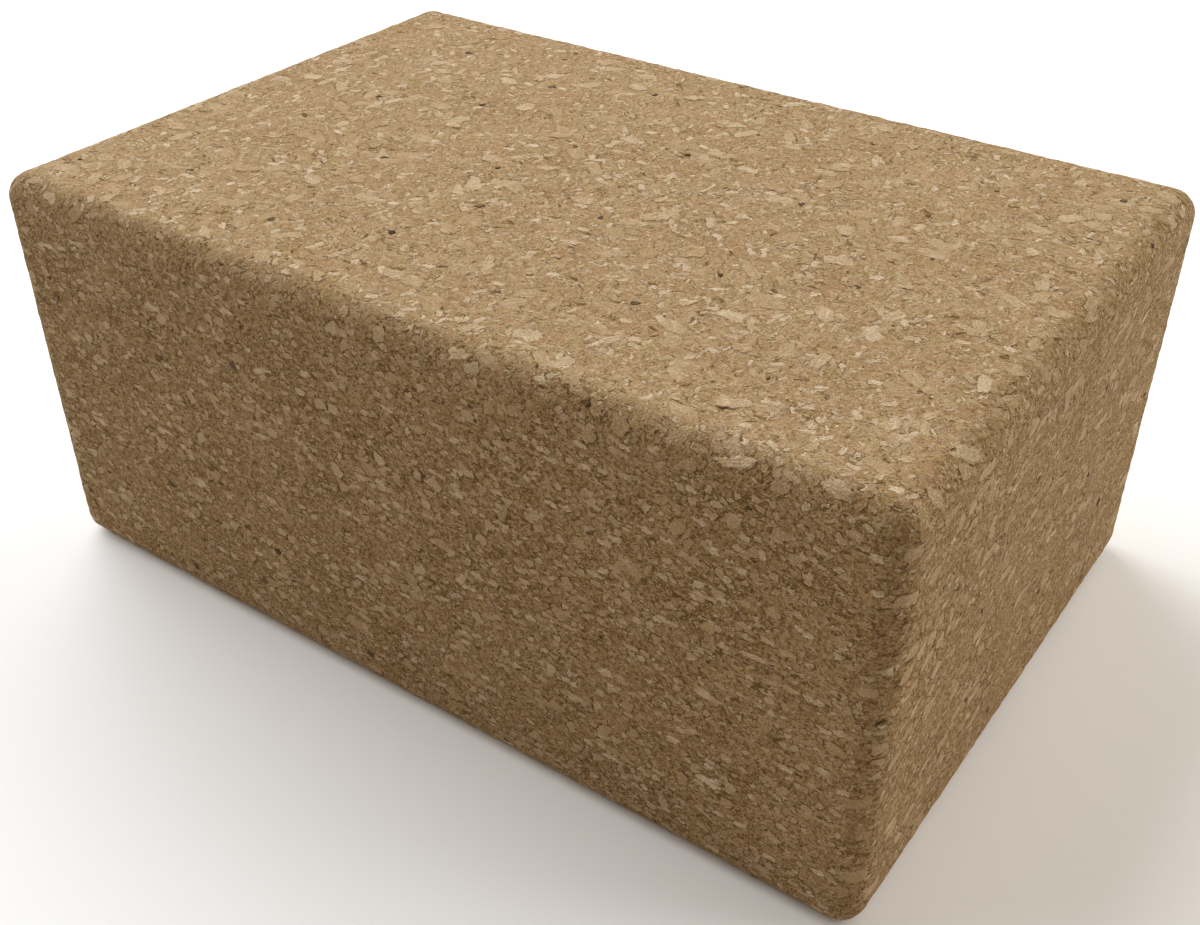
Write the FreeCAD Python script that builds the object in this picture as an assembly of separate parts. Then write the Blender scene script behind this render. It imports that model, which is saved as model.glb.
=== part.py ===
"""Cork yoga block, in millimetres, +Z up, lying on its largest face, with the origin at its base's centre.

The block is pressed from cork granules and a thin binder, sawn to size and rounded over on every edge.
The fine granules and the binder make one body. The coarse granules that the saw cut through are solids of
their own, each in its own pocket of the body and flush with the surface around it.
"""

import FreeCAD
import Part
import itertools
import math
import os

# The block: length along X, width along Y, height along Z, and the round-over of every edge.
BLOCK_LENGTH = 228.6
BLOCK_WIDTH = 152.4
BLOCK_HEIGHT = 101.6
EDGE_RADIUS = 6.0

# Pressing along Z flattens each granule to a flake. These are the sizes of an average flake of pale cork and
# of dark bark, with the mean distance from one to the next in a surface.
PALE_SPAN = 7.2
PALE_BREADTH = 4.4
PALE_THICKNESS = 2.4
PALE_SPACING = 24.0

BARK_SPAN = 2.2
BARK_BREADTH = 1.4
BARK_THICKNESS = 1.2
BARK_SPACING = 31.0

# The least fine cork left between two coarse granules, and how far a flake stands out before it is cut flush.
LEAST_BETWEEN = 0.8
OVERRUN = 1.0

# The outline of a flake: its corners, and how far one of them may draw in. A flake tapers to its inner end.
CORNER_COUNT = 7
DRAW_IN_SHARE = 0.34
INNER_END_SHARE = 0.6

# How flakes differ: the smallest and largest beside an average one, and how far one tips out of level.
SMALLEST_SHARE = 0.62
LARGEST_SHARE = 1.3
MOST_TIP_DEGREES = 14.0
QUARTER_TURN_DEGREES = 90.0

# Multiples of this ratio's inverse powers spread points evenly over a surface.
EVEN_RATIO = 1.324717957244746

# Multiples of the square roots of these primes scatter what differs from flake to flake.
SIZE_PRIME = 2
ANGLE_PRIME = 3
CORNER_PRIME = 5
TURN_PRIME = 7

# Flakes are numbered, and each kind in each surface has this many numbers to itself.
NUMBERS_EACH = 1000

KINDS = {
    "pale": (PALE_SPAN, PALE_BREADTH, PALE_THICKNESS, PALE_SPACING),
    "bark": (BARK_SPAN, BARK_BREADTH, BARK_THICKNESS, BARK_SPACING),
}

# A direction has -1, 0 or 1 along X, Y and Z. One that isn't 0 faces out of a face, and two out of an edge.
FACE_NAMES = {
    (0, 0, 1): "top",
    (0, 0, -1): "bottom",
    (0, -1, 0): "front",
    (0, 1, 0): "back",
    (-1, 0, 0): "left",
    (1, 0, 0): "right",
}
EDGE_NAMES = {1: "top_edges", 0: "upright_edges", -1: "bottom_edges"}


def scatter(number, prime):
    """A share from 0 to 1 for a numbered thing. It looks random, and is the same on every run."""
    return (number * math.sqrt(prime) + 1 / prime) % 1


def between(low, high, share):
    return low + (high - low) * share


def block_sizes():
    return BLOCK_LENGTH, BLOCK_WIDTH, BLOCK_HEIGHT


def block_solid():
    """The whole block, before any granule is told apart from it."""
    corner = FreeCAD.Vector(-BLOCK_LENGTH / 2, -BLOCK_WIDTH / 2, 0)
    box = Part.makeBox(*block_sizes(), corner)
    return box.makeFillet(EDGE_RADIUS, box.Edges)


def surfaces():
    """Name and direction of every flat face, then of every rounded edge."""
    edges = [way for way in itertools.product((-1, 0, 1), repeat=3) if way.count(0) == 1]
    return [(name, way) for way, name in FACE_NAMES.items()] + [(EDGE_NAMES[way[2]], way) for way in edges]


def flat_runs(direction):
    """The lengths of a face's two flat sides, or of an edge's one straight run."""
    return [size - 2 * EDGE_RADIUS for size, way in zip(block_sizes(), direction) if way == 0]


def surface_area(direction):
    arcs = [EDGE_RADIUS * math.pi / 2] * (2 - direction.count(0))
    return math.prod(flat_runs(direction) + arcs)


def most_reach(direction):
    """How far a granule in the middle of a surface can reach before it meets the next surface."""
    across_edge = 2 * EDGE_RADIUS * math.sin(math.pi / 8)
    room = min(flat_runs(direction)) / 2 if direction.count(0) == 2 else across_edge
    return room - LEAST_BETWEEN


def surface_point(direction, number, reach):
    """The place of a numbered granule in a surface, and the direction out of the block there."""
    shares = [number / EVEN_RATIO % 1, number / EVEN_RATIO**2 % 1]
    point = []
    for way, size in zip(direction, block_sizes()):
        core = size / 2 - EDGE_RADIUS
        room = core - reach - LEAST_BETWEEN
        point.append(way * core if way else between(-room, room, shares.pop()))
    outward = FreeCAD.Vector(*direction).normalize()
    middle = FreeCAD.Vector(0, 0, BLOCK_HEIGHT / 2)
    return middle + FreeCAD.Vector(*point) + outward * EDGE_RADIUS, outward


def first_number(kind, direction):
    """Where a kind's numbers start in a surface, so that no surface's scatter depends on another's."""
    digits = [list(KINDS).index(kind)] + [way + 1 for way in direction]
    return NUMBERS_EACH * sum(digit * 3**place for place, digit in enumerate(digits))


def granule_places(kind, span, spacing, taken):
    """Surface, number, point, direction and scale of each granule, clear of the spheres already taken."""
    places = []
    for name, direction in surfaces():
        first = first_number(kind, direction)
        for number in range(first, first + round(surface_area(direction) / spacing**2)):
            scale = between(SMALLEST_SHARE, LARGEST_SHARE, scatter(number, SIZE_PRIME))
            reach = min(span * scale / 2, most_reach(direction))
            point, outward = surface_point(direction, number, reach)
            if all(point.distanceToPoint(other) > reach + room + LEAST_BETWEEN for other, room in taken):
                taken.append((point, reach))
                places.append((name, number, point, outward, 2 * reach / span))
    return places


def flake_outline(number, span, rise):
    """Corners of one flake's uneven outline, as pairs about its middle."""
    corners = []
    for step in range(CORNER_COUNT):
        corner = number * CORNER_COUNT + step
        angle = 2 * math.pi * (step + scatter(corner, ANGLE_PRIME) / 2) / CORNER_COUNT
        reach = (1 - DRAW_IN_SHARE * scatter(corner, CORNER_PRIME)) / 2
        corners.append((span * reach * math.cos(angle), rise * reach * math.sin(angle)))
    return corners


def flake_solid(number, point, outward, span, breadth, thickness):
    """A flake as a tapered plug that stands out of the surface. It lies flat, so a side face cuts it thin."""
    level = math.hypot(outward.x, outward.y)
    rise = min(breadth, thickness / level) if level else breadth
    outline = flake_outline(number, span, rise)
    rings = []
    for height in (-thickness, OVERRUN):
        share = 1 + (1 - INNER_END_SHARE) * height / thickness
        rings.append([FreeCAD.Vector(x * share, y * share, height) for x, y in outline])
    inner, outer = rings
    loops = list(rings)
    for step in range(CORNER_COUNT):
        loops.append([inner[step - 1], inner[step], outer[step], outer[step - 1]])
    solid = Part.Solid(Part.Shell([Part.Face(Part.makePolygon(loop + loop[:1])) for loop in loops]))
    if solid.Volume < 0:
        solid.reverse()
    upright = FreeCAD.Vector(0, 0, 1)
    along = upright.cross(outward) if level else FreeCAD.Vector(1, 0, 0)
    most_turn = MOST_TIP_DEGREES if level else QUARTER_TURN_DEGREES
    turn = FreeCAD.Rotation(upright, between(-most_turn, most_turn, scatter(number, TURN_PRIME)))
    facing = FreeCAD.Rotation(along, FreeCAD.Vector(), outward, "ZXY")
    solid.Placement = FreeCAD.Placement(point, facing.multiply(turn))
    return solid


def build(block):
    """The solids of each node: granules by kind and surface, cut flush with the block, and the body."""
    taken = []
    flakes = []
    nodes = {}
    for kind, (span, breadth, thickness, spacing) in KINDS.items():
        for name, number, point, outward, scale in granule_places(kind, span, spacing, taken):
            flake = flake_solid(number, point, outward, span * scale, breadth * scale, thickness * scale)
            flakes.append(flake)
            nodes.setdefault(f"{kind}_granules_{name}", []).extend(flake.common(block).Solids)
    nodes["cork_body"] = block.cut(flakes).Solids
    return nodes


def main():
    os.makedirs("parts", exist_ok=True)
    block = block_solid()
    nodes = build(block)
    total = 0
    for node, solids in nodes.items():
        shape = Part.makeCompound(solids)
        shape.exportStep(f"parts/{node}.step")
        total += shape.Volume
        print(f"{node}: {len(solids)} solids, {shape.Volume:.1f} mm3, sound {shape.isValid()}")
    print(f"the pieces together {total:.2f} mm3, the whole block {block.Volume:.2f} mm3")


if __name__ == "__main__":
    main()
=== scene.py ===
"""Looks of a cork yoga block: its granular surface, its coarse flakes, a plain studio and the camera."""

import math

import bmesh
import bpy
import numpy as np
from bpy.props import FloatProperty, FloatVectorProperty, IntProperty, PointerProperty
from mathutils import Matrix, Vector, noise


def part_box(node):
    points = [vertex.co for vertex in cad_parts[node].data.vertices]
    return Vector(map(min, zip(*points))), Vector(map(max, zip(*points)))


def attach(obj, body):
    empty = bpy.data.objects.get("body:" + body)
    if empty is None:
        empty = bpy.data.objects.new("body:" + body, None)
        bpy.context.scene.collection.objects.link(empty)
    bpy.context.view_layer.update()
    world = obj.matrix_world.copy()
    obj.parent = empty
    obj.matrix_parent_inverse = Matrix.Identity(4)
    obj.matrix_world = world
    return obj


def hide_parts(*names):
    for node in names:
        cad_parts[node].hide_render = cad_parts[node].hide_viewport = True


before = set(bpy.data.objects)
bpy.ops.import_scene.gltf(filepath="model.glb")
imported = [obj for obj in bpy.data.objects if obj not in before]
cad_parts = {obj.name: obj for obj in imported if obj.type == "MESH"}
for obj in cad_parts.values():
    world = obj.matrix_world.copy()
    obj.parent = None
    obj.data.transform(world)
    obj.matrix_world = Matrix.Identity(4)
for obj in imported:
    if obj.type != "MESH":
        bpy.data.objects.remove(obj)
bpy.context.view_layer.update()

bl_info = {
    "name": "Cork yoga block",
    "version": (1, 0, 0),
    "blender": (4, 5, 0),
    "location": "3D View > Sidebar > Cork block",
    "description": "Builds the looks of a pressed cork yoga block around its packed solids",
    "category": "Object",
}

MM = 0.001
PER_MM = 1000.0
BODY_NODE = "cork_body"
PALE_NODES = sorted(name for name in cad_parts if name.startswith("pale_granules"))
BARK_NODES = sorted(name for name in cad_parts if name.startswith("bark_granules"))

# Distances within which points count as one, as level with the top, or as on the surface.
SAME_POINT = 0.001 * MM
LEVEL = 0.01 * MM
ON_SURFACE = 0.02 * MM

# Noise lies about its middle. A shift is full at the ends of the first range. Grain and coarse flakes use
# the second, which is softer.
NOISE_MIDDLE = 0.5
NOISE_RANGE = {"From Min": 0.3, "From Max": 0.7}
FINE_NOISE_RANGE = {"From Min": 0.25, "From Max": 0.75}

# Tone runs from 0 in the darkest pores to 1 in the palest chips. Crumbs start at the first of these, and
# the others say how far a feature shifts the tone. Pores start at the first end of their range and are
# full at the second.
CRUMB_LEAST = 0.04
CRUMB_SHIFT = 0.38
CLOUD_SHIFT = 0.48
PATCH_SHIFT = 0.05
PORE_SHIFT = -0.2
PORE_RANGE = {"From Min": 0.44, "From Max": 0.27}
GRAIN_SHIFT = 0.16
LINE_SHIFTS = {"To Min": -0.18, "To Max": 0.16}

# The upright sides are cut across the pressed layers by the saw. They show deeper pores and fewer chips. They
# are also made darker than the top as painted shade: darker crumbs, darker chips, and stronger gaps around
# the chips that paint the shadows beside them.
SAWN_AND_SHADED_SHIFT = -0.2
SAWN_PORE_SHIFT = -0.05
SAWN_AND_SHADED_CHIP_SHIFT = -0.09
SAWN_FEWER_SHARE = 0.15
SAWN_GAP_AND_SHADOW_SHARE = 0.3

# A chip's length beside the distance between chips, how round its outline is, how far it rolls about its
# length in radians, and a power that makes dark chips more common than pale ones.
CHIP_LENGTH_SHARE = 1.5
CHIP_ROUND_SHARE = 0.35
CHIP_MOST_ROLL = 1.4
CHIP_TONE_POWER = 1.8

# A chip's own tone fades in from its outline, at 1, inwards. The dark gap around it fades out outwards,
# and breaks off where the crumbs around it are dark.
CHIP_FADE = {"From Min": 1, "From Max": 0.88}
GAP_FADE = {"From Min": 1.25, "From Max": 1.02, "To Max": 0.34}
GAP_BREAK = {"From Min": 0.45, "From Max": 0.6}
GAP_SHARE = 0.9

# The layers of chips, the lowest first: the size that gives a chip's length, its breadth and thickness as
# shares of that, the share of places that hold a chip, and its darkest and palest tone.
CHIP_LAYERS = (
    ("small_chip", 0.5, 0.4, 0.6, 0.38, 0.96),
    ("middle_chip", 0.5, 0.4, 0.56, 0.5, 0.96),
    ("sliver", 0.24, 0.18, 0.2, 0.0, 0.96),
    ("large_chip", 0.54, 0.4, 0.32, 0.54, 0.84),
)

# How far hue and strength of colour shift from place to place. The first value leaves a hue as it is.
SAME_HUE = 0.5
HUE_SHIFT = 0.0065
STRENGTH_SHIFT = 0.03

# Where each shade of cork and of bark lies on the scale of tones.
CORK_STOPS = (0.0, 0.25, 0.5, 0.74, 1.0)
BARK_STOPS = (0.0, 0.5, 1.0)

# Sanded cork and paper are matt, and cork hardly shines at all.
CORK_ROUGHNESS = 0.95
CORK_SHINE = 0.12
PAPER_ROUGHNESS = 0.9

# Coarse flakes: their darkest and palest tone, and how far lines, grain, blots and the rim shift it. The
# rim's darkening is partly the dark joint round a flake and partly painted shade in the groove it sits in.
PALE_FLAKE_TONES = (0.5, 0.8)
BARK_FLAKE_TONES = (0.2, 0.8)
FLAKE_LINE_SHIFT = 0.14
FLAKE_GRAIN_SHIFT = 0.2
FLAKE_BLOT_SHIFT = 0.2
FLAKE_RIM_SHADE_SHIFT = -0.28

# Rings of a flake's mesh, from its sunk base over its rim towards its crown: shares of its outline, and how
# much of the rim's darkness, partly joint and partly painted shade, each has.
RING_SHARES = (0.86, 1.0, 0.93, 0.7, 0.38)
RIM_SHADE_SHARES = (1.0, 1.0, 0.5, 0.0, 0.0)

# Width and depth of the notches in a flake's outline, in millimetres.
FLAKE_NOTCHES = ((2.2, 0.9), (0.9, 0.5), (0.45, 0.25))

# A flake that faces up or down by more than this share is first laid along the X axis, and any other
# along the level.
UPRIGHT_SHARE = 0.9

# A crevice between two granules takes up this share of a granule.
CREVICE_SHARE = 0.3

# Seeds that make nodes, flakes, granules and pits differ, and how far apart flakes lie in the noise.
NODE_SEED = 31
NOTCH_SEED = 3.7
TONE_SEED = 0.73
TONE_PLACE = (4.2, 9.1)
GRANULE_SEED = 7.3
PIT_SEED = 5.1
FLAKES_APART = 10 * MM


def linear(hex_colour):
    """An sRGB hex colour as the linear red, green and blue that Blender works in."""
    channels = [int(hex_colour[k : k + 2], 16) / 255 for k in (1, 3, 5)]
    return tuple(c / 12.92 if c <= 0.04045 else ((c + 0.055) / 1.055) ** 2.4 for c in channels)


def block_measures():
    """Half sizes, middle and edge radius of the block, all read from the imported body."""
    low, high = (np.array(corner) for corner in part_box(BODY_NODE))
    corners = np.array([v.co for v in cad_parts[BODY_NODE].data.vertices])
    on_top = corners[corners[:, 2] > high[2] - LEVEL]
    return (high - low) / 2, (high + low) / 2, high[0] - on_top[:, 0].max()


HALF, MIDDLE, RADIUS = block_measures()


def onto_block(points):
    """The nearest points of the rounded block's surface, and the direction out of the block at each."""
    centred = np.asarray(points) - MIDDLE
    core = np.clip(centred, RADIUS - HALF, HALF - RADIUS)
    outward = centred - core
    outward /= np.linalg.norm(outward, axis=-1, keepdims=True)
    return MIDDLE + core + outward * RADIUS, outward


def size_property(name, description, millimetres):
    size = millimetres * MM
    return FloatProperty(name=name, description=description, default=size, unit="LENGTH", precision=5)


def colour_property(name, description, hex_colour):
    return FloatVectorProperty(
        name=name, description=description, default=linear(hex_colour), subtype="COLOR", size=3, min=0, max=1
    )


def angle_property(name, description, degrees):
    angle = math.radians(degrees)
    return FloatProperty(name=name, description=description, default=angle, subtype="ANGLE")


class CorkSurface(bpy.types.PropertyGroup):
    """Sizes of the cork's grain, chips and flakes, and of the relief that sawing and sanding leave."""

    mesh_pitch: size_property("Mesh pitch", "Distance between the points of the block's mesh", 1.25)
    map_gap: size_property("Map gap", "Distance between the sides of the block on its flat map", 2.0)
    crumb: size_property("Crumb", "Width of the fine crumbs between the chips", 0.6)
    grain: size_property("Grain", "Width of the finest grain", 0.34)
    pore: size_property("Pore", "Distance between the dark pores", 0.55)
    cloud: size_property("Cloud", "Width of the lighter and darker patches of crumbs", 3.0)
    patch: size_property("Patch", "Width of the slow changes of tone", 14.0)
    stain: size_property("Stain", "Width of the warmer and greyer places", 2.0)
    small_chip: size_property("Small chip", "Length of the small chips", 1.8)
    middle_chip: size_property("Middle chip", "Length of the middle chips", 3.4)
    large_chip: size_property("Large chip", "Length of the large chips", 7.0)
    sliver: size_property("Sliver", "Length of the thin palest slivers", 2.8)
    ragged_width: size_property("Ragged width", "Width of the notches in the chips' outlines", 1.4)
    ragged_reach: size_property("Ragged reach", "Depth of the notches in the chips' outlines", 1.8)
    line_length: size_property("Line length", "Length of the growth lines in the chips", 2.6)
    line_width: size_property("Line width", "Width of the growth lines in the chips", 0.35)
    tooth: size_property("Tooth", "Height of the finest relief", 0.5)
    pressed_flat: FloatProperty(
        name="Pressed flat", description="How many times wider than thick a granule is", default=1.15, min=1
    )
    granule_relief: size_property("Granule relief", "How much lower one granule lies than the next", 0.1)
    crevice_depth: size_property("Crevice depth", "Depth of the crevices between granules", 0.1)
    pit_spacing: size_property("Pit spacing", "Mean distance between small pits", 9.0)
    pit_width: size_property("Pit width", "Width of an average pit", 2.6)
    pit_depth: size_property("Pit depth", "Depth of an average pit", 0.55)
    edge_wear: FloatProperty(
        name="Edge wear", description="How much rougher the edges are than the faces", default=0.4, min=0
    )
    flake_proud: size_property("Flake height", "Height of a coarse flake over the block's own surface", -0.02)
    flake_rim: size_property("Flake rim", "Depth of a coarse flake's rim", 0.16)
    flake_sunk: size_property("Flake depth", "How deep a coarse flake is set in", 0.7)
    flake_line_length: size_property("Flake line length", "Length of a coarse flake's growth lines", 4.0)
    flake_line_width: size_property("Flake line width", "Width of a coarse flake's growth lines", 0.5)
    flake_blot: size_property("Flake blot", "Width of the blots in a coarse flake", 1.6)
    flake_corners: IntProperty(name="Flake points", description="Points round a flake", default=52, min=8)


class CorkColours(bpy.types.PropertyGroup):
    """Colours of the cork, its binder and its bark."""

    pore: colour_property("Pore", "Dark pores and gaps", "#6A4F2B")
    dark_cork: colour_property("Dark cork", "Darkest granules", "#967850")
    tan_cork: colour_property("Tan cork", "Usual granules", "#AA8D67")
    light_cork: colour_property("Light cork", "Lighter granules", "#BAA17F")
    pale_cork: colour_property("Pale cork", "Palest flakes", "#D2BC9E")
    bark: colour_property("Bark", "Specks of outer bark", "#5E4A32")
    dark_bark: colour_property("Dark bark", "Darkest bark", "#3C2F22")


class StudioSettings(bpy.types.PropertyGroup):
    """Camera, floor and light."""

    azimuth: angle_property("Azimuth", "Camera angle round the block", 35.11)
    elevation: angle_property("Elevation", "Camera angle above the floor", 35.1)
    distance: size_property("Distance", "From the camera to the plane through the middle of the base", 382.2)
    aim_right: size_property("Aim right", "How far right of the base's middle the camera aims", 1.2)
    aim_up: size_property("Aim up", "How far above the base's middle the camera aims", 19.4)
    lens: FloatProperty(name="Lens", description="Focal length in millimetres", default=43.03, min=1)
    sensor: FloatProperty(name="Sensor", description="Width of the sensor in millimetres", default=36, min=1)
    nearest: size_property("Nearest", "How near the camera still sees", 10.0)
    floor: colour_property("Floor", "Plain pale floor", "#F8F7F5")
    floor_reach: size_property("Floor reach", "How far from the block the floor has faded out", 1300.0)
    sky: FloatProperty(name="Sky", description="Strength of the even light all round", default=0.2, min=0)
    sky_colour: colour_property("Sky colour", "Colour of the even light, a warm white", "#FFE4BC")
    lamp_size: size_property("Lamp size", "Width of each lamp", 1800.0)
    key_power: FloatProperty(name="Key power", description="Watts of the main lamp", default=37.0, min=0)
    key_colour: colour_property("Key colour", "Colour of the main lamp, a cool white", "#F1F6FD")
    key_place: FloatVectorProperty(
        name="Key place", description="Middle of the main lamp", default=(-1.0, 0.06, 0.85),
        subtype="TRANSLATION",
    )
    fill_power: FloatProperty(name="Fill power", description="Watts of the second lamp", default=29.8, min=0)
    fill_colour: colour_property("Fill colour", "Colour of the second lamp, a plain white", "#FEFEFD")
    fill_place: FloatVectorProperty(
        name="Fill place", description="Middle of the second lamp", default=(0.75, 1.0, 0.45),
        subtype="TRANSLATION",
    )


def add(tree, kind, settings=None, links=None, stops=()):
    """Adds a node with its settings, and sets or links its inputs. Stops are the colours of a ramp."""
    node = tree.nodes.new(kind)
    for name, value in (settings or {}).items():
        setattr(node, name, value)
    for socket, value in (links or {}).items():
        if isinstance(value, bpy.types.NodeSocket):
            tree.links.new(value, node.inputs[socket])
        else:
            node.inputs[socket].default_value = value
    for k, (place, colour) in enumerate(stops):
        ramp = node.color_ramp.elements
        stop = ramp[k] if k < 2 else ramp.new(place)
        stop.position = place
        stop.color = (*colour, 1)
    return node


def new_material(name):
    """A material with an empty tree, its shader and its output."""
    material = bpy.data.materials.new(name)
    material.use_nodes = True
    tree = material.node_tree
    tree.nodes.clear()
    shader = add(tree, "ShaderNodeBsdfPrincipled")
    add(tree, "ShaderNodeOutputMaterial", links={"Surface": shader.outputs["BSDF"]})
    return material, tree, shader


def cork_place(tree, surface):
    """The place on the block in millimetres, stretched upwards to undo the pressing, and that place bent
    a little, which makes outlines ragged."""
    place = add(tree, "ShaderNodeTexCoord").outputs["Object"]
    stretch = (PER_MM, PER_MM, PER_MM * surface.pressed_flat)
    place = add(tree, "ShaderNodeVectorMath", {"operation": "MULTIPLY"}, {0: place, 1: stretch}).outputs[0]
    ragged = {"Vector": place, "Scale": 1 / (surface.ragged_width * PER_MM), "Detail": 4, "Roughness": 0.62}
    ragged = add(tree, "ShaderNodeTexNoise", links=ragged).outputs[1]
    centred = {0: ragged, 1: (NOISE_MIDDLE,) * 3}
    centred = add(tree, "ShaderNodeVectorMath", {"operation": "SUBTRACT"}, centred).outputs[0]
    bend = {0: centred, 1: (surface.ragged_reach * PER_MM,) * 3, 2: place}
    return place, add(tree, "ShaderNodeVectorMath", {"operation": "MULTIPLY_ADD"}, bend).outputs[0]


def chips(tree, place, length, side_shares, surface):
    """Chips of one length, each lying at a turn of its own: a random number for each, its growth lines,
    and how far out a point is, which is 1 at the outline."""
    spacing = length / CHIP_LENGTH_SHARE
    seeds = {"Vector": place, "Scale": 1 / (spacing * PER_MM)}
    seeds = add(tree, "ShaderNodeTexVoronoi", {"feature": "F1"}, seeds)
    turn = {0: seeds.outputs["Color"], 1: (2 * CHIP_MOST_ROLL, 0, 2 * math.pi), 2: (-CHIP_MOST_ROLL, 0, 0)}
    turn = add(tree, "ShaderNodeVectorMath", {"operation": "MULTIPLY_ADD"}, turn).outputs[0]
    away = {0: place, 1: seeds.outputs["Position"]}
    away = add(tree, "ShaderNodeVectorMath", {"operation": "SUBTRACT"}, away).outputs[0]
    away = {0: away, 1: (1, 1, 1 / surface.pressed_flat)}
    away = add(tree, "ShaderNodeVectorMath", {"operation": "MULTIPLY"}, away).outputs[0]
    own = {"Vector": away, "Rotation": turn}
    own = add(tree, "ShaderNodeVectorRotate", {"rotation_type": "EULER_XYZ", "invert": True}, own).outputs[0]
    half = length / 2 * PER_MM
    shape = {0: own, 1: [1 / (half * share) for share in side_shares]}
    shape = add(tree, "ShaderNodeVectorMath", {"operation": "MULTIPLY"}, shape).outputs[0]
    shape = add(tree, "ShaderNodeVectorMath", {"operation": "ABSOLUTE"}, {0: shape}).outputs[0]
    sides = add(tree, "ShaderNodeSeparateXYZ", links={0: shape}).outputs
    out = add(tree, "ShaderNodeMath", {"operation": "MAXIMUM"}, {0: sides[0], 1: sides[1]}).outputs[0]
    out = add(tree, "ShaderNodeMath", {"operation": "MAXIMUM"}, {0: out, 1: sides[2]}).outputs[0]
    round_out = add(tree, "ShaderNodeVectorMath", {"operation": "LENGTH"}, {0: shape}).outputs["Value"]
    out = add(tree, "ShaderNodeMix", links={0: CHIP_ROUND_SHARE, 2: out, 3: round_out}).outputs[0]
    luck = add(tree, "ShaderNodeSeparateColor", links={0: seeds.outputs["Color"]}).outputs[1]
    line_sizes = (surface.line_length, surface.line_width, surface.line_width)
    along = {0: own, 1: [1 / (size * PER_MM) for size in line_sizes]}
    along = add(tree, "ShaderNodeVectorMath", {"operation": "MULTIPLY"}, along).outputs[0]
    lines = add(tree, "ShaderNodeTexNoise", links={"Vector": along, "Scale": 1, "Detail": 1}).outputs[0]
    return luck, lines, out


def crumbs(tree, place, bent, sawn_and_shaded, surface):
    """Tone of the fine crumbs with the pores between them, and the clouds of lighter and darker crumbs."""
    crumb = {"Vector": bent, "Scale": 1 / (surface.crumb * PER_MM)}
    crumb = add(tree, "ShaderNodeTexVoronoi", {"feature": "F1"}, crumb)
    luck = add(tree, "ShaderNodeSeparateColor", links={0: crumb.outputs["Color"]}).outputs[0]
    tone = {0: luck, 1: CRUMB_SHIFT, 2: CRUMB_LEAST}
    tone = add(tree, "ShaderNodeMath", {"operation": "MULTIPLY_ADD"}, tone).outputs[0]
    cloud = {"Vector": place, "Scale": 1 / (surface.cloud * PER_MM), "Detail": 4, "Roughness": 0.7}
    cloud = add(tree, "ShaderNodeTexNoise", links=cloud).outputs[0]
    tone = {0: cloud, 1: CLOUD_SHIFT, 2: tone}
    tone = add(tree, "ShaderNodeMath", {"operation": "MULTIPLY_ADD"}, tone).outputs[0]
    patch = {"Vector": place, "Scale": 1 / (surface.patch * PER_MM), "Detail": 1}
    patch = add(tree, "ShaderNodeTexNoise", links=patch).outputs[0]
    patch = {"Value": patch, **NOISE_RANGE, "To Min": -PATCH_SHIFT, "To Max": PATCH_SHIFT}
    patch = add(tree, "ShaderNodeMapRange", links=patch).outputs[0]
    # On the upright sides the crumbs are made darker: painted shade.
    patch = {0: sawn_and_shaded, 1: SAWN_AND_SHADED_SHIFT, 2: patch}
    patch = add(tree, "ShaderNodeMath", {"operation": "MULTIPLY_ADD"}, patch).outputs[0]
    tone = add(tree, "ShaderNodeMath", {"operation": "ADD"}, {0: tone, 1: patch}).outputs[0]
    pore = {"Vector": place, "Scale": 1 / (surface.pore * PER_MM), "Detail": 1}
    pore = add(tree, "ShaderNodeTexNoise", links=pore).outputs[0]
    pore = {"Value": pore, **PORE_RANGE}
    pore = add(tree, "ShaderNodeMapRange", {"interpolation_type": "SMOOTHSTEP"}, pore).outputs[0]
    deep = {0: sawn_and_shaded, 1: SAWN_PORE_SHIFT, 2: PORE_SHIFT}
    deep = add(tree, "ShaderNodeMath", {"operation": "MULTIPLY_ADD"}, deep).outputs[0]
    pore = add(tree, "ShaderNodeMath", {"operation": "MULTIPLY"}, {0: pore, 1: deep}).outputs[0]
    tone = add(tree, "ShaderNodeMath", {"operation": "ADD"}, {0: tone, 1: pore}).outputs[0]
    return tone, cloud


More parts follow.
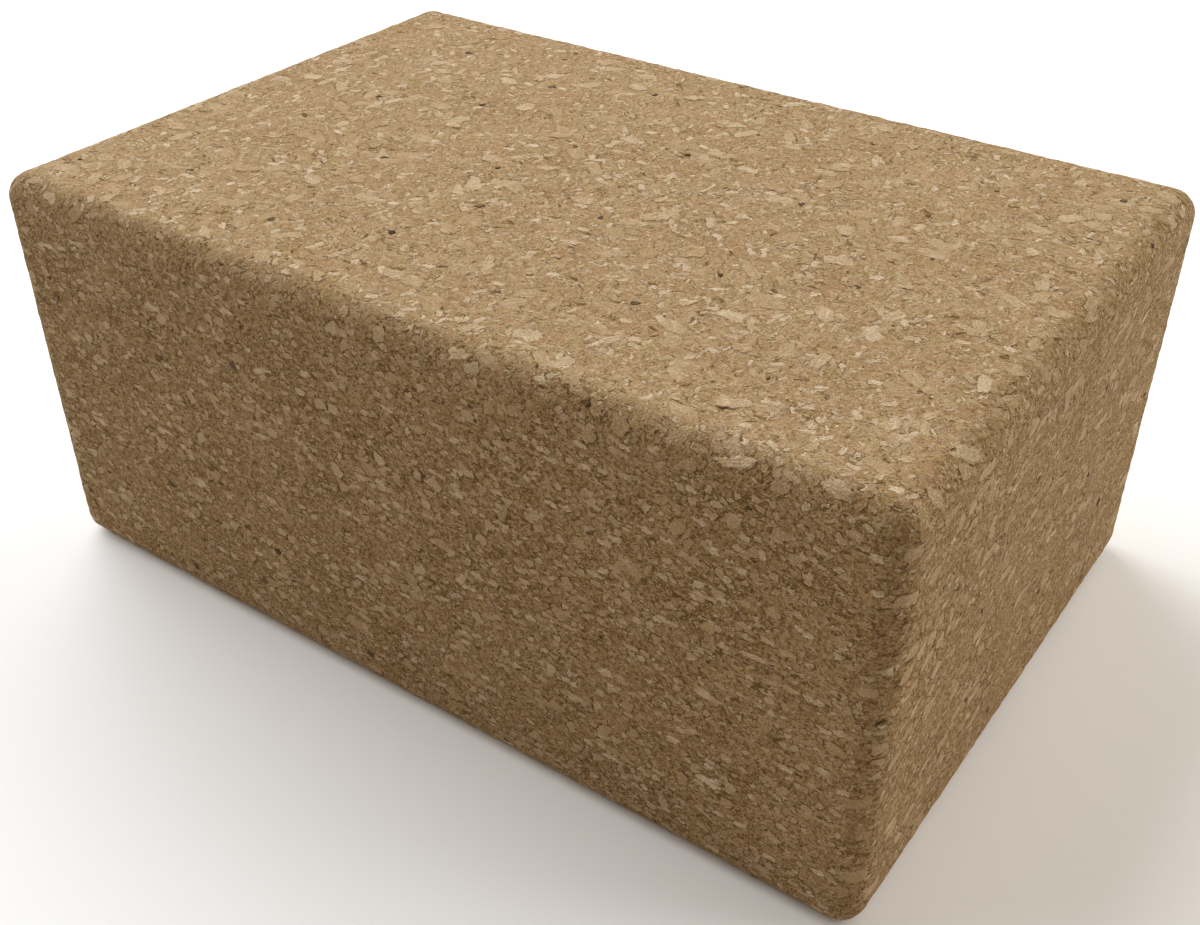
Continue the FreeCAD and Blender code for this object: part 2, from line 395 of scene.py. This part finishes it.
def lay_chips(tree, tone, cloud, bent, sawn_and_shaded, layer, surface):
    """The tone with a layer of chips over it, each with its growth lines and a thin, broken, dark gap
    around it."""
    size, breadth_share, thickness_share, filled_share, darkest, palest = layer
    side_shares = (1, breadth_share, thickness_share)
    luck, lines, out = chips(tree, bent, getattr(surface, size), side_shares, surface)
    filled = {0: sawn_and_shaded, 1: -SAWN_FEWER_SHARE * filled_share, 2: filled_share}
    filled = add(tree, "ShaderNodeMath", {"operation": "MULTIPLY_ADD"}, filled).outputs[0]
    there = add(tree, "ShaderNodeMath", {"operation": "LESS_THAN"}, {0: luck, 1: filled}).outputs[0]

    gap = {"Value": out, **GAP_FADE}
    gap = add(tree, "ShaderNodeMapRange", {"interpolation_type": "SMOOTHSTEP"}, gap).outputs[0]
    broken = {"Value": cloud, **GAP_BREAK}
    broken = add(tree, "ShaderNodeMapRange", {"interpolation_type": "SMOOTHSTEP"}, broken).outputs[0]
    # On the upright sides the gaps are made stronger, which paints the shadows beside the chips.
    strong = {0: sawn_and_shaded, 1: SAWN_GAP_AND_SHADOW_SHARE, 2: GAP_SHARE}
    strong = add(tree, "ShaderNodeMath", {"operation": "MULTIPLY_ADD"}, strong).outputs[0]
    for share in (broken, there, strong):
        gap = add(tree, "ShaderNodeMath", {"operation": "MULTIPLY"}, {0: gap, 1: share}).outputs[0]
    tone = add(tree, "ShaderNodeMath", {"operation": "SUBTRACT"}, {0: tone, 1: gap}).outputs[0]

    own = add(tree, "ShaderNodeMath", {"operation": "DIVIDE"}, {0: luck, 1: filled_share}).outputs[0]
    own = add(tree, "ShaderNodeMath", {"operation": "POWER"}, {0: own, 1: CHIP_TONE_POWER}).outputs[0]
    own = {0: own, 1: palest - darkest, 2: darkest}
    own = add(tree, "ShaderNodeMath", {"operation": "MULTIPLY_ADD"}, own).outputs[0]
    # On the upright sides the chips are made darker: painted shade.
    own = {0: sawn_and_shaded, 1: SAWN_AND_SHADED_CHIP_SHIFT, 2: own}
    own = add(tree, "ShaderNodeMath", {"operation": "MULTIPLY_ADD"}, own).outputs[0]
    line = {"Value": lines, **NOISE_RANGE, **LINE_SHIFTS}
    line = add(tree, "ShaderNodeMapRange", links=line).outputs[0]
    own = add(tree, "ShaderNodeMath", {"operation": "ADD"}, {0: own, 1: line}).outputs[0]

    within = {"Value": out, **CHIP_FADE}
    within = add(tree, "ShaderNodeMapRange", {"interpolation_type": "SMOOTHSTEP"}, within).outputs[0]
    within = add(tree, "ShaderNodeMath", {"operation": "MULTIPLY"}, {0: within, 1: there}).outputs[0]
    return add(tree, "ShaderNodeMix", links={0: within, 2: tone, 3: own}).outputs[0]


def stained(tree, colour, bent, surface):
    """The colour made slightly warmer or redder, and stronger or greyer, from place to place."""
    stain = {"Vector": bent, "Scale": 1 / (surface.stain * PER_MM), "Detail": 2}
    stain = add(tree, "ShaderNodeTexNoise", links=stain).outputs[1]
    stain = add(tree, "ShaderNodeSeparateColor", links={0: stain}).outputs
    hue = {"Value": stain[0], "To Min": SAME_HUE - HUE_SHIFT, "To Max": SAME_HUE + HUE_SHIFT}
    hue = add(tree, "ShaderNodeMapRange", links={**NOISE_RANGE, **hue}).outputs[0]
    strength = {"Value": stain[1], "To Min": 1 - STRENGTH_SHIFT, "To Max": 1 + STRENGTH_SHIFT}
    strength = add(tree, "ShaderNodeMapRange", links={**NOISE_RANGE, **strength}).outputs[0]
    mixed = {"Color": colour, "Hue": hue, "Saturation": strength}
    return add(tree, "ShaderNodeHueSaturation", links=mixed).outputs[0]


def sanded(tree, shader, colour, tone, surface):
    """Gives cork's shader its colour and a sanded finish: matt, with a fine tooth that is deepest where
    it is dark."""
    tooth = {"Height": tone, "Strength": 1, "Distance": surface.tooth}
    tooth = add(tree, "ShaderNodeBump", links=tooth).outputs[0]
    tree.links.new(colour, shader.inputs["Base Color"])
    tree.links.new(tooth, shader.inputs["Normal"])
    shader.inputs["Roughness"].default_value = CORK_ROUGHNESS
    shader.inputs["Specular IOR Level"].default_value = CORK_SHINE


def cork_tones(colours):
    """Cork from its darkest pores to its palest chips."""
    shades = (colours.pore, colours.dark_cork, colours.tan_cork, colours.light_cork, colours.pale_cork)
    return list(zip(CORK_STOPS, shades))


def bark_tones(colours):
    """Bark from its darkest specks to where it turns to cork."""
    return list(zip(BARK_STOPS, (colours.dark_bark, colours.bark, colours.dark_cork)))


def pressed_cork(surface, colours):
    """Agglomerated cork, cut by saw and sanded: fine brown crumbs with dark pores between them, and paler
    chips of mixed length, each with its growth lines and a thin dark gap around it. The upright sides are
    darker, partly from their saw-cut texture and partly as painted shade. It is matt, with a fine tooth."""
    material, tree, shader = new_material("agglomerated_cork")
    place, bent = cork_place(tree, surface)
    # How upright the surface is. It brings the sides' saw-cut texture and their painted shade.
    sawn_and_shaded = add(tree, "ShaderNodeAttribute", {"attribute_name": "sawn_and_shaded_side"}).outputs["Fac"]
    tone, cloud = crumbs(tree, place, bent, sawn_and_shaded, surface)
    for layer in CHIP_LAYERS:
        tone = lay_chips(tree, tone, cloud, bent, sawn_and_shaded, layer, surface)

    # Cork's cells are about 0.04 mm wide, too fine to show, so grain and pores are drawn much coarser.
    grain = {"Vector": place, "Scale": 1 / (surface.grain * PER_MM), "Detail": 1}
    grain = add(tree, "ShaderNodeTexNoise", links=grain).outputs[0]
    grain = {"Value": grain, **FINE_NOISE_RANGE, "To Min": -GRAIN_SHIFT, "To Max": GRAIN_SHIFT}
    grain = add(tree, "ShaderNodeMapRange", links=grain).outputs[0]
    tone = add(tree, "ShaderNodeMath", {"operation": "ADD"}, {0: tone, 1: grain}).outputs[0]
    colour = add(tree, "ShaderNodeValToRGB", links={0: tone}, stops=cork_tones(colours)).outputs[0]
    sanded(tree, shader, stained(tree, colour, bent, surface), tone, surface)
    return material


def flake_cork(name, tones, surface):
    """One coarse granule, cut and sanded flush: nearly even in tone, with growth lines along it and a dark
    rim, partly its joint with the cork around it and partly painted shade in its groove. Its grain is as
    coarse as that of the cork around it, for the same reason."""
    material, tree, shader = new_material(name)
    own_place = add(tree, "ShaderNodeAttribute", {"attribute_name": "flake_place"}).outputs["Vector"]
    line_sizes = (surface.flake_line_length, surface.flake_line_width, surface.flake_line_width)
    along = {0: own_place, 1: [1 / size for size in line_sizes]}
    along = add(tree, "ShaderNodeVectorMath", {"operation": "MULTIPLY"}, along).outputs[0]
    lines = add(tree, "ShaderNodeTexNoise", links={"Vector": along, "Scale": 1, "Detail": 2}).outputs[0]
    place = add(tree, "ShaderNodeTexCoord").outputs["Object"]
    grain = {"Vector": place, "Scale": 1 / surface.grain, "Detail": 1}
    grain = add(tree, "ShaderNodeTexNoise", links=grain).outputs[0]
    blot = {"Vector": place, "Scale": 1 / surface.flake_blot, "Detail": 2}
    blot = add(tree, "ShaderNodeTexNoise", links=blot).outputs[0]
    tone = add(tree, "ShaderNodeAttribute", {"attribute_name": "flake_tone"}).outputs["Fac"]
    for value, shift in ((lines, FLAKE_LINE_SHIFT), (grain, FLAKE_GRAIN_SHIFT), (blot, FLAKE_BLOT_SHIFT)):
        spread = {"Value": value, **FINE_NOISE_RANGE, "To Min": -shift, "To Max": shift}
        spread = add(tree, "ShaderNodeMapRange", links=spread).outputs[0]
        tone = add(tree, "ShaderNodeMath", {"operation": "ADD"}, {0: tone, 1: spread}).outputs[0]
    # The dark rim: partly the flake's joint, partly painted shade in the groove round it.
    rim = add(tree, "ShaderNodeAttribute", {"attribute_name": "flake_rim"}).outputs["Fac"]
    tone = {0: rim, 1: FLAKE_RIM_SHADE_SHIFT, 2: tone}
    tone = add(tree, "ShaderNodeMath", {"operation": "MULTIPLY_ADD"}, tone).outputs[0]
    colour = add(tree, "ShaderNodeValToRGB", links={0: tone}, stops=tones).outputs[0]
    sanded(tree, shader, colour, tone, surface)
    return material


def stops_along(half, pitch):
    """Stops across one axis of the box, even on the flat and at even angles round each edge, and the
    distance over the surface to each."""
    core = half - RADIUS
    flat = np.linspace(-core, core, math.ceil(2 * core / pitch) + 1)
    angles = np.linspace(0, math.pi / 4, math.ceil(RADIUS * math.pi / 4 / pitch) + 1)[1:]
    bend, arc = core + RADIUS * np.tan(angles), core + RADIUS * angles
    stops = np.concatenate([-bend[::-1], flat, bend])
    over = np.concatenate([-arc[::-1], flat, arc])
    return stops, over - over[0]


def chart_places(spans, gap):
    """Lower left corners of the six sides laid out on one square map, and the square's width. The long
    sides stand in one column, and the ends in another, with the back turned by a quarter above them. A
    side is known by its axis and by 0 for the low end or -1 for the high end."""
    length, width, height = spans
    column = length + gap
    corners = {
        (2, -1): (0, 0),
        (2, 0): (0, width + gap),
        (1, 0): (0, 2 * (width + gap)),
        (0, -1): (column, 0),
        (0, 0): (column, height + gap),
        (1, -1): (column, 2 * (height + gap)),
    }
    return corners, max(column + width, 2 * (height + gap) + length)


def block_grid(pitch, gap):
    """Points and four-sided faces of the rounded block, as one closed grid over its six sides, and each
    face's place on a flat map of the sides."""
    stops, overs = zip(*(stops_along(half, pitch) for half in HALF))
    corners, map_width = chart_places([over[-1] for over in overs], gap)
    numbers = -np.ones([len(s) for s in stops], int)
    points, faces, places = [], [], []
    for axis in range(3):
        one, two = (axis + 1) % 3, (axis + 2) % 3
        for way in (0, -1):
            where = [None] * 3
            where[axis] = np.array([[way % len(stops[axis])]])
            where[one] = np.arange(len(stops[one]))[:, None]
            where[two] = np.arange(len(stops[two]))[None, :]
            where = np.broadcast_arrays(*where)

            # Points that two sides share are made once, by the first of them.
            fresh = numbers[tuple(where)] < 0
            spots = [w[fresh] for w in where]
            numbers[tuple(spots)] = len(points) + np.arange(len(spots[0]))
            points.extend(np.stack([s[w] for s, w in zip(stops, spots)], -1))
            across, up = overs[one][where[one]], overs[two][where[two]]
            if axis == 1 and way == 0:
                across, up = up, across
            corner = corners[axis, way]
            place = np.stack([corner[0] + across, corner[1] + up], -1) / map_width
            for grid, store in ((numbers[tuple(where)], faces), (place, places)):
                quads = np.stack([grid[:-1, :-1], grid[1:, :-1], grid[1:, 1:], grid[:-1, 1:]], 2)
                quads = quads.reshape(-1, *quads.shape[2:])
                store.append(quads if way == -1 else quads[:, ::-1])
    return np.array(points) + MIDDLE, np.concatenate(faces), np.concatenate(places)


def cork_relief(point, on_edge, surface):
    """How deep the cork's surface lies at a point: granules set lower or higher, crevices between them,
    and pits."""
    flat = Vector((point[0], point[1], point[2] * surface.pressed_flat))
    near, sites = noise.voronoi(flat / surface.middle_chip)
    granule = (0.5 + noise.cell(sites[0] * GRANULE_SEED) / 2) * surface.granule_relief
    crevice = max(0, 1 - (near[1] - near[0]) / CREVICE_SHARE) * surface.crevice_depth
    away, pits = noise.voronoi(flat / surface.pit_spacing)
    luck = 0.5 + noise.cell(pits[0] * PIT_SEED) / 2
    reach = surface.pit_width / 2 * (0.5 + luck)
    pit = max(0, 1 - (away[0] * surface.pit_spacing / reach) ** 2) * surface.pit_depth * luck
    return (granule + crevice) * (1 + surface.edge_wear * on_edge) + pit


def mesh_object(name, points, faces, material, nodes):
    """A mesh piece that rides on the block, stands for solids and takes the material it is given."""
    mesh = bpy.data.meshes.new(name)
    mesh.from_pydata([tuple(p) for p in points], [], [tuple(int(k) for k in f) for f in faces])
    mesh.validate()
    mesh.polygons.foreach_set("use_smooth", [True] * len(mesh.polygons))
    mesh.materials.append(material)
    piece = bpy.data.objects.new(name, mesh)
    bpy.context.scene.collection.objects.link(piece)
    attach(piece, "root")
    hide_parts(*nodes)
    return piece


def flake_outlines(node):
    """The outline of each solid of a node where it meets the block's surface, as loops of points, in
    order of place."""
    solids = bmesh.new()
    solids.from_mesh(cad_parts[node].data)
    bmesh.ops.remove_doubles(solids, verts=solids.verts, dist=SAME_POINT)
    places = np.array([v.co for v in solids.verts])
    depth = np.linalg.norm(places - onto_block(places)[0], axis=1)
    shown = {v for v, d in zip(solids.verts, depth) if d < ON_SURFACE}
    skin = {f for f in solids.faces if all(v in shown for v in f.verts)}
    solids.edges.index_update()
    rims = {e.index: e for e in solids.edges if len(skin.intersection(e.link_faces)) == 1}
    loops = []
    while rims:
        edge = rims.popitem()[1]
        loop = [edge.verts[0], edge.verts[1]]
        while True:
            onward = next((e for e in loop[-1].link_edges if e.index in rims), None)
            if onward is None:
                break
            del rims[onward.index]
            loop.append(onward.other_vert(loop[-1]))
        loops.append(np.array([v.co for v in loop[:-1]]))
    solids.free()
    return sorted(loops, key=lambda loop: tuple(np.round(loop.mean(0) / MM)))


def ragged_outline(corners, seed, surface):
    """An angular outline with even points and small notches, in the flake's own plane."""
    closed = np.vstack([corners, corners[:1]])
    reached = np.concatenate([[0], np.cumsum(np.linalg.norm(np.diff(closed, axis=0), axis=1))])
    stops = np.linspace(0, reached[-1], surface.flake_corners, endpoint=False)
    points = np.stack([np.interp(stops, reached, closed[:, k]) for k in (0, 1)], 1)
    ahead = np.roll(points, -1, 0) - np.roll(points, 1, 0)
    aside = np.stack([ahead[:, 1], -ahead[:, 0]], 1) / np.linalg.norm(ahead, axis=1)[:, None]
    for width, depth in FLAKE_NOTCHES:
        notch = [noise.noise(Vector((*(p / (width * MM)), seed * NOTCH_SEED))) for p in points]
        points = points + aside * np.array(notch)[:, None] * (depth * MM)
    return points


def across_flake(outline, middle, side, other):
    """A flake's outline in its own plane, as pairs about its middle."""
    return np.stack([(outline - middle) @ side, (outline - middle) @ other], 1)


def flake_frame(outline):
    """A flake's middle on the block, the direction out of the block there, and its long and its short
    way."""
    middle, outward = onto_block(outline.mean(0))
    side = np.cross(outward, (0, 0, 1) if abs(outward[2]) < UPRIGHT_SHARE else (0, 1, 0))
    side /= np.linalg.norm(side)
    other = np.cross(outward, side)
    spread = np.linalg.eigh(np.cov(across_flake(outline, middle, side, other).T))[1]
    side = spread[0, 1] * side + spread[1, 1] * other
    return middle, outward, side, np.cross(outward, side)


def flake_mesh(outline, seed, surface):
    """Points, faces, own places and rim of one flake: a ragged outline draped on the block, low at its
    rim and closed below."""
    count = surface.flake_corners
    middle, outward, side, other = flake_frame(outline)
    flat = across_flake(outline, middle, side, other)
    area = np.sum(flat[:, 0] * np.roll(flat[:, 1], -1) - flat[:, 1] * np.roll(flat[:, 0], -1))
    rim = ragged_outline(flat if area > 0 else flat[::-1], seed, surface)
    sunk, crown = -surface.flake_sunk, surface.flake_proud
    heights = (sunk, -surface.flake_rim, crown, crown, crown)
    points, places, rims = [], [], []
    # Each ring's share of the rim's darkness, partly joint and partly painted shade.
    for share, height, dark in zip(RING_SHARES, heights, RIM_SHADE_SHARES):
        ring = middle + np.outer(rim[:, 0] * share, side) + np.outer(rim[:, 1] * share, other)
        seat, out = onto_block(ring)
        points.append(seat + out * height)
        places.append(np.column_stack([rim * share, np.full(count, seed * FLAKES_APART)]))
        rims.append(np.full(count, dark))
    for height in (sunk, crown):
        points.append((middle + outward * height)[None])
        places.append(np.array([[0, 0, seed * FLAKES_APART]]))
        rims.append(np.zeros(1))
    last = (len(heights) - 1) * count
    base_point = last + count
    crown_point = base_point + 1
    faces = []
    for first in range(0, last, count):
        for k in range(count):
            a, b = first + k, first + (k + 1) % count
            faces.append((a, b, b + count, a + count))
    for k in range(count):
        onward = (k + 1) % count
        faces.append((base_point, onward, k))
        faces.append((crown_point, last + k, last + onward))
    return np.concatenate(points), faces, np.concatenate(places), np.concatenate(rims)


def flake_piece(node, material, slot, surface, darkest, palest):
    """All the flakes of one node as one piece, each with a tone of its own."""
    points, faces, places, rims, tones = [], [], [], [], []
    for number, outline in enumerate(flake_outlines(node)):
        seed = number + NODE_SEED * len(node)
        own_points, own_faces, own_places, own_rims = flake_mesh(outline, seed, surface)
        start = sum(len(p) for p in points)
        faces.extend(tuple(start + k for k in f) for f in own_faces)
        points.append(own_points)
        places.append(own_places)
        rims.append(own_rims)
        luck = 0.5 + noise.noise(Vector((seed * TONE_SEED, *TONE_PLACE)))
        tones.append(np.full(len(own_points), darkest + (palest - darkest) * min(1, max(0, luck))))
    name = node.replace("granules", "flakes")
    piece = mesh_object(name, np.concatenate(points), faces, material, [node])
    # flake_rim carries the rim's darkness, partly joint and partly painted shade.
    for feature, values in (("flake_tone", tones), ("flake_rim", rims)):
        layer = piece.data.attributes.new(feature, "FLOAT", "POINT")
        layer.data.foreach_set("value", np.concatenate(values))
    layer = piece.data.attributes.new("flake_place", "FLOAT_VECTOR", "POINT")
    layer.data.foreach_set("vector", np.concatenate(places).ravel())
    return piece


def paper_floor(colour, reach):
    """Matt white paper: even and without gloss. It fades out with distance, so that no far edge shows."""
    material, tree, shader = new_material("matt_white_paper")
    shader.inputs["Base Color"].default_value = (*colour, 1)
    shader.inputs["Roughness"].default_value = PAPER_ROUGHNESS
    place = add(tree, "ShaderNodeTexCoord").outputs["Object"]
    away = add(tree, "ShaderNodeVectorMath", {"operation": "LENGTH"}, {0: place}).outputs["Value"]
    away = {"Value": away, "From Min": reach / 2, "From Max": reach}
    away = add(tree, "ShaderNodeMapRange", {"interpolation_type": "SMOOTHSTEP"}, away).outputs[0]
    clear = add(tree, "ShaderNodeBsdfTransparent").outputs[0]
    faded = add(tree, "ShaderNodeMixShader", links={0: away, 1: shader.outputs[0], 2: clear}).outputs[0]
    tree.links.new(faded, tree.nodes["Material Output"].inputs["Surface"])
    return material


def lay_floor(scene, studio):
    """A square of paper under the block."""
    reach = studio.floor_reach
    corners = [(-reach, -reach, 0), (reach, -reach, 0), (reach, reach, 0), (-reach, reach, 0)]
    mesh = bpy.data.meshes.new("floor")
    mesh.from_pydata(corners, [], [(0, 1, 2, 3)])
    mesh.materials.append(paper_floor(studio.floor, reach))
    floor = bpy.data.objects.new("floor", mesh)
    scene.collection.objects.link(floor)


def light_sky(scene, studio):
    """A dim, warm, even light, and behind the block, where the eye sees past it, a backdrop as pale as
    the floor."""
    world = bpy.data.worlds.new("studio")
    world.use_nodes = True
    tree = world.node_tree
    tree.nodes.clear()
    sky = {"Color": (*studio.sky_colour, 1), "Strength": studio.sky}
    sky = add(tree, "ShaderNodeBackground", links=sky).outputs[0]
    backdrop = add(tree, "ShaderNodeBackground", links={"Color": (*studio.floor, 1)}).outputs[0]
    seen = add(tree, "ShaderNodeLightPath").outputs["Is Camera Ray"]
    both = add(tree, "ShaderNodeMixShader", links={0: seen, 1: sky, 2: backdrop}).outputs[0]
    add(tree, "ShaderNodeOutputWorld", links={"Surface": both})
    scene.world = world


def hang_lamp(scene, name, power, colour, place, size):
    """A square lamp that faces the middle of the block."""
    lamp = bpy.data.lights.new(name, "AREA")
    lamp.energy = power
    lamp.color = colour
    lamp.size = size
    holder = bpy.data.objects.new(name, lamp)
    holder.location = place
    holder.rotation_euler = (Vector(MIDDLE) - holder.location).to_track_quat("-Z", "Y").to_euler()
    scene.collection.objects.link(holder)


def place_camera(scene, studio):
    """A camera that looks down on the block, aimed near the middle of its base."""
    turn, lift = studio.azimuth, studio.elevation
    back = Vector((math.sin(turn) * math.cos(lift), -math.cos(turn) * math.cos(lift), math.sin(lift)))
    right = Vector((math.cos(turn), math.sin(turn), 0))
    up = back.cross(right)
    lens = bpy.data.cameras.new("camera")
    lens.lens = studio.lens
    lens.sensor_width = studio.sensor
    lens.clip_start = studio.nearest
    camera = bpy.data.objects.new("camera", lens)
    camera.location = right * studio.aim_right + up * studio.aim_up + back * studio.distance
    camera.rotation_euler = (-back).to_track_quat("-Z", "Y").to_euler()
    scene.collection.objects.link(camera)
    scene.camera = camera


class CORK_OT_block(bpy.types.Operator):
    """Make the block's fine cork with its relief"""

    bl_idname = "cork.block"
    bl_label = "Cork block"

    def execute(self, context):
        surface, colours = context.scene.cork_surface, context.scene.cork_colours
        box_points, faces, map_places = block_grid(surface.mesh_pitch, surface.map_gap)
        points, outward = onto_block(box_points)

        # The middle one of a direction's three sizes is 0 on a face and largest halfway round an edge.
        on_edge = np.sort(np.abs(outward), axis=1)[:, 1] / math.sqrt(0.5)
        depth = [cork_relief(p, e, surface) for p, e in zip(points, on_edge)]
        points = points - outward * np.array(depth)[:, None]
        material = pressed_cork(surface, colours)
        block = mesh_object("cork_block", points, faces, material, [BODY_NODE])

        # The flat map of the block's six sides.
        layer = block.data.uv_layers.new(name="OFBake")
        layer.uv.foreach_set("vector", map_places.ravel())
        # How upright each point is, for the sides' saw-cut texture and their painted shade.
        layer = block.data.attributes.new("sawn_and_shaded_side", "FLOAT", "POINT")
        layer.data.foreach_set("value", np.linalg.norm(outward[:, :2], axis=1))
        return {"FINISHED"}


class CORK_OT_pale_flakes(bpy.types.Operator):
    """Make the coarse pale flakes that show in every face"""

    bl_idname = "cork.pale_flakes"
    bl_label = "Pale flakes"

    def execute(self, context):
        surface, colours = context.scene.cork_surface, context.scene.cork_colours
        material = flake_cork("coarse_cork_flake", cork_tones(colours), surface)
        for node in PALE_NODES:
            flake_piece(node, material, "pale_cork", surface, *PALE_FLAKE_TONES)
        return {"FINISHED"}


class CORK_OT_bark_flakes(bpy.types.Operator):
    """Make the dark specks of bark"""

    bl_idname = "cork.bark_flakes"
    bl_label = "Bark flakes"

    def execute(self, context):
        surface, colours = context.scene.cork_surface, context.scene.cork_colours
        material = flake_cork("cork_bark", bark_tones(colours), surface)
        for node in BARK_NODES:
            flake_piece(node, material, "cork_bark", surface, *BARK_FLAKE_TONES)
        return {"FINISHED"}


class CORK_OT_stage(bpy.types.Operator):
    """Make the floor, the lights and the camera"""

    bl_idname = "cork.stage"
    bl_label = "Studio"

    def execute(self, context):
        scene, studio = context.scene, context.scene.cork_studio
        lay_floor(scene, studio)
        light_sky(scene, studio)
        hang_lamp(scene, "key", studio.key_power, studio.key_colour, studio.key_place, studio.lamp_size)
        hang_lamp(scene, "fill", studio.fill_power, studio.fill_colour, studio.fill_place, studio.lamp_size)
        place_camera(scene, studio)
        scene.view_settings.view_transform = "Standard"
        return {"FINISHED"}


class CORK_PT_panel(bpy.types.Panel):
    """Lists the steps and the sizes of the cork block"""

    bl_idname = "CORK_PT_panel"
    bl_label = "Cork block"
    bl_space_type = "VIEW_3D"
    bl_region_type = "UI"
    bl_category = "Cork block"

    def draw(self, context):
        for step in STEPS:
            self.layout.operator(step.bl_idname)
        for group in GROUPS:
            settings = getattr(context.scene, group)
            for name in settings.bl_rna.properties.keys():
                if name not in ("name", "rna_type"):
                    self.layout.prop(settings, name)


STEPS = (CORK_OT_block, CORK_OT_pale_flakes, CORK_OT_bark_flakes, CORK_OT_stage)
GROUPS = {"cork_surface": CorkSurface, "cork_colours": CorkColours, "cork_studio": StudioSettings}


def register():
    for kind in (*GROUPS.values(), *STEPS, CORK_PT_panel):
        bpy.utils.register_class(kind)
    for name, group in GROUPS.items():
        setattr(bpy.types.Scene, name, PointerProperty(type=group))


def unregister():
    for name in GROUPS:
        delattr(bpy.types.Scene, name)
    for kind in (CORK_PT_panel, *reversed(STEPS), *GROUPS.values()):
        bpy.utils.unregister_class(kind)


def main():
    register()
    bpy.ops.cork.block()
    bpy.ops.cork.pale_flakes()
    bpy.ops.cork.bark_flakes()
    bpy.ops.cork.stage()


if __name__ == "__main__":
    main()
